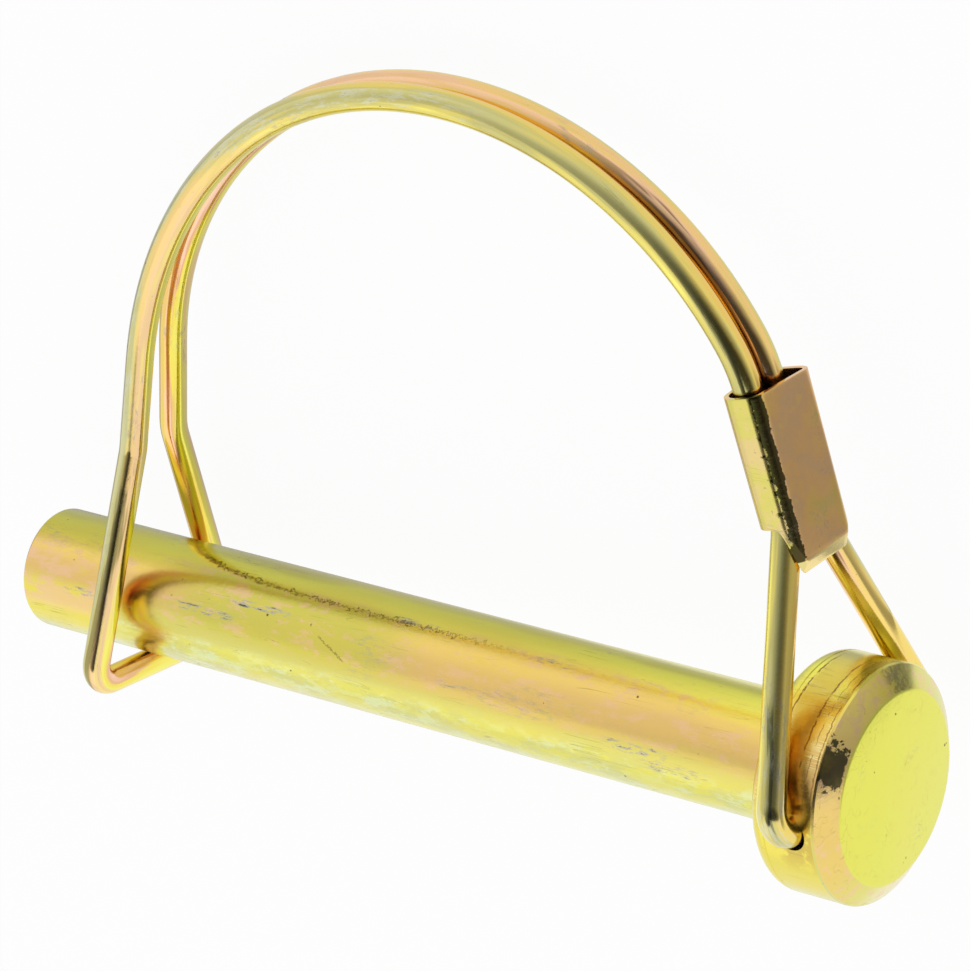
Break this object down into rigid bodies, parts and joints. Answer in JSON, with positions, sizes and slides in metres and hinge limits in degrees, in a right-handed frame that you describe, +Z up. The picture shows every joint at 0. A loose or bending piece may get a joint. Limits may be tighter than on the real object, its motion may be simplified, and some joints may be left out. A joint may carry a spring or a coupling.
{
  "type": "wire lock pin",
  "caption": "Straight round pin with a disc head; a sprung round-wire bail hinges in the head's cross hole, bows over the shank and snaps its squared loop round the tip to lock it.",
  "frame": {"origin": "Bottom centre of the bounding box, with the pin lying as it rests on a table on its hook bend, a loop corner and the bow.", "axes": "X runs along the pin from the tip to the head, Y runs from the pin towards the bow, and Z is up."},
  "size_m": [0.0794, 0.0566, 0.0228],
  "materials": {
    "zinc_pin": "bright yellow-chromated zinc plate",
    "zinc_wire": "bright yellow-chromated zinc plate on drawn wire",
    "zinc_sleeve": "yellow-chromated zinc plate on bent strip"
  },
  "bodies": {
    "pin": {"pin": "zinc_pin"},
    "bail": {"wire_bail": "zinc_wire", "crimp_sleeve": "zinc_sleeve"}
  },
  "joints": [
    {"name": "bail_swing", "type": "hinge", "parent": "pin", "child": "bail", "pos_m": [0.03622, -0.01912, 0.01179], "axis": [-0.0553, 0.1569, 0.9861], "range_deg": [-215, 1.2]}
  ]
}
